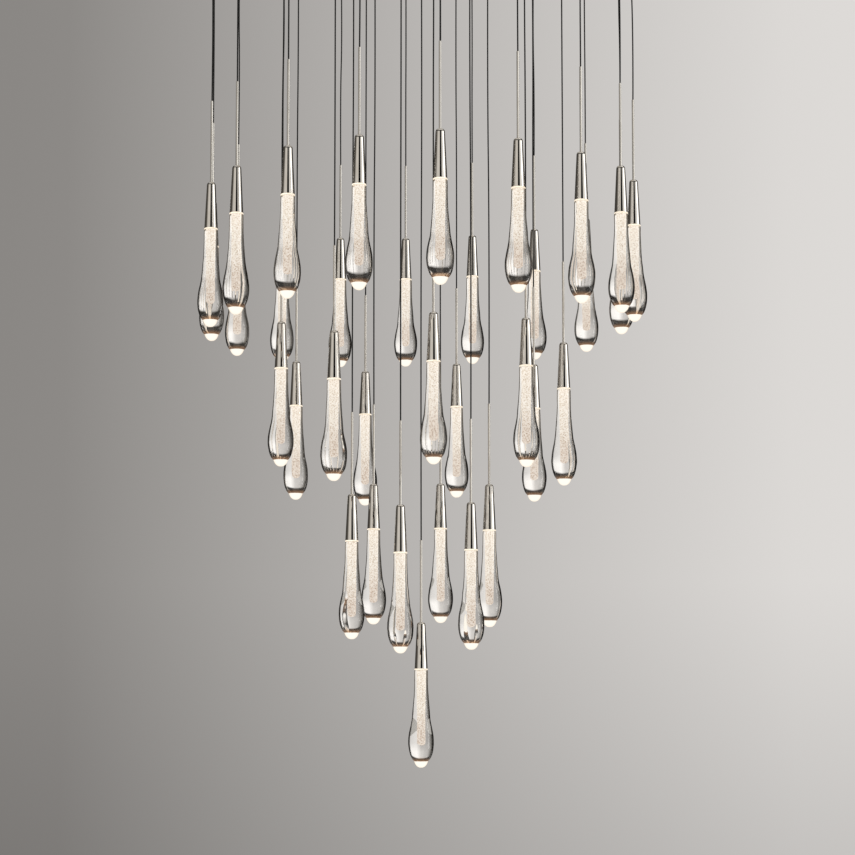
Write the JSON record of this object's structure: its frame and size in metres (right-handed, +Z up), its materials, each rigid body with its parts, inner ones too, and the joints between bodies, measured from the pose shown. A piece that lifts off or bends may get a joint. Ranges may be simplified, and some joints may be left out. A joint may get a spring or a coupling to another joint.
{
  "type": "multi-drop pendant chandelier",
  "caption": "Round tiered ceiling chandelier: lit solid-glass teardrops with bubbled cores in polished nickel caps, hung on black cords from a flat round canopy.",
  "frame": {"origin": "centre of the mounting plate's upper face, where it bears on the ceiling", "axes": "+Z up into the ceiling, -Y the front of the picture, +X to its right"},
  "size_m": [1.2199, 1.22, 2.385],
  "materials": {
    "polished_nickel": "polished",
    "zinc_plated_steel": "satin",
    "white_polycarbonate": "matte",
    "brass": "satin",
    "black_rubber": "matte",
    "black_cord": "satin",
    "bare_aluminium": "satin",
    "clear_glass": "polished",
    "clear_lens": "polished",
    "lit_bubble_glass": "seeded",
    "lit_silicone": "satin",
    "lit_led": "matte"
  },
  "bodies": {
    "canopy": {"mounting_plate": "zinc_plated_steel", "canopy_pan": "polished_nickel", "hanger_studs": "zinc_plated_steel", "spacer_tubes": "zinc_plated_steel", "cap_nuts": "polished_nickel", "outer_cord_grips": "polished_nickel", "middle_cord_grips": "polished_nickel", "inner_cord_grips": "polished_nickel", "grip_nuts": "zinc_plated_steel", "led_drivers": "white_polycarbonate", "driver_screws": "zinc_plated_steel", "output_terminal_blocks": "white_polycarbonate", "supply_terminal_block": "white_polycarbonate", "earth_screw": "brass", "supply_grommet": "black_rubber"},
    "outer_01": {"outer_drop_01": "clear_glass"},
    "outer_02": {"outer_drop_02": "clear_glass"},
    "outer_03": {"outer_drop_03": "clear_glass"},
    "outer_04": {"outer_drop_04": "clear_glass"},
    "outer_05": {"outer_drop_05": "clear_glass"},
    "outer_06": {"outer_drop_06": "clear_glass"},
    "outer_07": {"outer_drop_07": "clear_glass"},
    "outer_08": {"outer_drop_08": "clear_glass"},
    "outer_09": {"outer_drop_09": "clear_glass"},
    "outer_10": {"outer_drop_10": "clear_glass"},
    "outer_11": {"outer_drop_11": "clear_glass"},
    "outer_12": {"outer_drop_12": "clear_glass"},
    "outer_13": {"outer_drop_13": "clear_glass"},
    "outer_14": {"outer_drop_14": "clear_glass"},
    "outer_15": {"outer_drop_15": "clear_glass"},
    "outer_16": {"outer_drop_16": "clear_glass"},
    "outer_17": {"outer_drop_17": "clear_glass"},
    "outer_18": {"outer_drop_18": "clear_glass"},
    "middle_01": {"middle_drop_01": "clear_glass"},
    "middle_02": {"middle_drop_02": "clear_glass"},
    "middle_03": {"middle_drop_03": "clear_glass"},
    "middle_04": {"middle_drop_04": "clear_glass"},
    "middle_05": {"middle_drop_05": "clear_glass"},
    "middle_06": {"middle_drop_06": "clear_glass"},
    "middle_07": {"middle_drop_07": "clear_glass"},
    "middle_08": {"middle_drop_08": "clear_glass"},
    "middle_09": {"middle_drop_09": "clear_glass"},
    "inner_01": {"inner_drop_01": "clear_glass"},
    "inner_02": {"inner_drop_02": "clear_glass"},
    "inner_03": {"inner_drop_03": "clear_glass"},
    "inner_04": {"inner_drop_04": "clear_glass"},
    "inner_05": {"inner_drop_05": "clear_glass"},
    "inner_06": {"inner_drop_06": "clear_glass"},
    "centre": {"centre_cord": "black_cord", "centre_stem": "polished_nickel", "centre_stem_nut": "zinc_plated_steel", "centre_cap": "polished_nickel", "centre_heat_sink": "bare_aluminium", "centre_led_board": "lit_led", "centre_lens": "clear_lens", "centre_gasket": "lit_silicone", "centre_glass_drop": "clear_glass", "centre_bubble_core": "lit_bubble_glass", "centre_grub_screws": "zinc_plated_steel"}
  },
  "joints": [
    {"name": "outer_01_swing", "type": "hinge", "parent": "canopy", "child": "outer_01", "pos_m": [0.04811, -0.57298, -0.064], "axis": [0, 1, 0], "range_deg": [-6, 6]},
    {"name": "outer_02_swing", "type": "hinge", "parent": "canopy", "child": "outer_02", "pos_m": [0.24119, -0.52197, -0.064], "axis": [0, 1, 0], "range_deg": [-6, 6]},
    {"name": "outer_03_swing", "type": "hinge", "parent": "canopy", "child": "outer_03", "pos_m": [0.40516, -0.408, -0.064], "axis": [0, 1, 0], "range_deg": [-6, 6]},
    {"name": "outer_04_swing", "type": "hinge", "parent": "canopy", "child": "outer_04", "pos_m": [0.52028, -0.24482, -0.064], "axis": [0, 1, 0], "range_deg": [-6, 6]},
    {"name": "outer_05_swing", "type": "hinge", "parent": "canopy", "child": "outer_05", "pos_m": [0.57263, -0.05211, -0.064], "axis": [0, 1, 0], "range_deg": [-6, 6]},
    {"name": "outer_06_swing", "type": "hinge", "parent": "canopy", "child": "outer_06", "pos_m": [0.55592, 0.14688, -0.064], "axis": [0, 1, 0], "range_deg": [-6, 6]},
    {"name": "outer_07_swing", "type": "hinge", "parent": "canopy", "child": "outer_07", "pos_m": [0.47216, 0.32816, -0.064], "axis": [0, 1, 0], "range_deg": [-6, 6]},
    {"name": "outer_08_swing", "type": "hinge", "parent": "canopy", "child": "outer_08", "pos_m": [0.33145, 0.46986, -0.064], "axis": [0, 1, 0], "range_deg": [-6, 6]},
    {"name": "outer_09_swing", "type": "hinge", "parent": "canopy", "child": "outer_09", "pos_m": [0.15076, 0.55488, -0.064], "axis": [0, 1, 0], "range_deg": [-6, 6]},
    {"name": "outer_10_swing", "type": "hinge", "parent": "canopy", "child": "outer_10", "pos_m": [-0.04811, 0.57298, -0.064], "axis": [0, 1, 0], "range_deg": [-6, 6]},
    {"name": "outer_11_swing", "type": "hinge", "parent": "canopy", "child": "outer_11", "pos_m": [-0.24119, 0.52197, -0.064], "axis": [0, 1, 0], "range_deg": [-6, 6]},
    {"name": "outer_12_swing", "type": "hinge", "parent": "canopy", "child": "outer_12", "pos_m": [-0.40516, 0.408, -0.064], "axis": [0, 1, 0], "range_deg": [-6, 6]},
    {"name": "outer_13_swing", "type": "hinge", "parent": "canopy", "child": "outer_13", "pos_m": [-0.52028, 0.24482, -0.064], "axis": [0, 1, 0], "range_deg": [-6, 6]},
    {"name": "outer_14_swing", "type": "hinge", "parent": "canopy", "child": "outer_14", "pos_m": [-0.57263, 0.05211, -0.064], "axis": [0, 1, 0], "range_deg": [-6, 6]},
    {"name": "outer_15_swing", "type": "hinge", "parent": "canopy", "child": "outer_15", "pos_m": [-0.55592, -0.14688, -0.064], "axis": [0, 1, 0], "range_deg": [-6, 6]},
    {"name": "outer_16_swing", "type": "hinge", "parent": "canopy", "child": "outer_16", "pos_m": [-0.47216, -0.32816, -0.064], "axis": [0, 1, 0], "range_deg": [-6, 6]},
    {"name": "outer_17_swing", "type": "hinge", "parent": "canopy", "child": "outer_17", "pos_m": [-0.33145, -0.46986, -0.064], "axis": [0, 1, 0], "range_deg": [-6, 6]},
    {"name": "outer_18_swing", "type": "hinge", "parent": "canopy", "child": "outer_18", "pos_m": [-0.15076, -0.55488, -0.064], "axis": [0, 1, 0], "range_deg": [-6, 6]},
    {"name": "middle_01_swing", "type": "hinge", "parent": "canopy", "child": "middle_01", "pos_m": [0.03214, -0.38275, -0.064], "axis": [0, 1, 0], "range_deg": [-5, 5]},
    {"name": "middle_02_swing", "type": "hinge", "parent": "canopy", "child": "middle_02", "pos_m": [0.27065, -0.27255, -0.064], "axis": [0, 1, 0], "range_deg": [-5, 5]},
    {"name": "middle_03_swing", "type": "hinge", "parent": "canopy", "child": "middle_03", "pos_m": [0.38252, -0.03481, -0.064], "axis": [0, 1, 0], "range_deg": [-5, 5]},
    {"name": "middle_04_swing", "type": "hinge", "parent": "canopy", "child": "middle_04", "pos_m": [0.3154, 0.21921, -0.064], "axis": [0, 1, 0], "range_deg": [-5, 5]},
    {"name": "middle_05_swing", "type": "hinge", "parent": "canopy", "child": "middle_05", "pos_m": [0.10071, 0.37066, -0.064], "axis": [0, 1, 0], "range_deg": [-5, 5]},
    {"name": "middle_06_swing", "type": "hinge", "parent": "canopy", "child": "middle_06", "pos_m": [-0.16111, 0.34868, -0.064], "axis": [0, 1, 0], "range_deg": [-5, 5]},
    {"name": "middle_07_swing", "type": "hinge", "parent": "canopy", "child": "middle_07", "pos_m": [-0.34754, 0.16354, -0.064], "axis": [0, 1, 0], "range_deg": [-5, 5]},
    {"name": "middle_08_swing", "type": "hinge", "parent": "canopy", "child": "middle_08", "pos_m": [-0.37136, -0.09812, -0.064], "axis": [0, 1, 0], "range_deg": [-5, 5]},
    {"name": "middle_09_swing", "type": "hinge", "parent": "canopy", "child": "middle_09", "pos_m": [-0.22141, -0.31387, -0.064], "axis": [0, 1, 0], "range_deg": [-5, 5]},
    {"name": "inner_01_swing", "type": "hinge", "parent": "canopy", "child": "inner_01", "pos_m": [0.13109, -0.13718, -0.064], "axis": [0, 1, 0], "range_deg": [-3, 3]},
    {"name": "inner_02_swing", "type": "hinge", "parent": "canopy", "child": "inner_02", "pos_m": [0.18435, 0.04494, -0.064], "axis": [0, 1, 0], "range_deg": [-3, 3]},
    {"name": "inner_03_swing", "type": "hinge", "parent": "canopy", "child": "inner_03", "pos_m": [0.05326, 0.18212, -0.064], "axis": [0, 1, 0], "range_deg": [-3, 3]},
    {"name": "inner_04_swing", "type": "hinge", "parent": "canopy", "child": "inner_04", "pos_m": [-0.13109, 0.13718, -0.064], "axis": [0, 1, 0], "range_deg": [-3, 3]},
    {"name": "inner_05_swing", "type": "hinge", "parent": "canopy", "child": "inner_05", "pos_m": [-0.18435, -0.04494, -0.064], "axis": [0, 1, 0], "range_deg": [-3, 3]},
    {"name": "inner_06_swing", "type": "hinge", "parent": "canopy", "child": "inner_06", "pos_m": [-0.05326, -0.18212, -0.064], "axis": [0, 1, 0], "range_deg": [-3, 3]},
    {"name": "centre_swing", "type": "hinge", "parent": "canopy", "child": "centre", "pos_m": [0, 0, -0.064], "axis": [0, 1, 0], "range_deg": [-4, 4]}
  ]
}
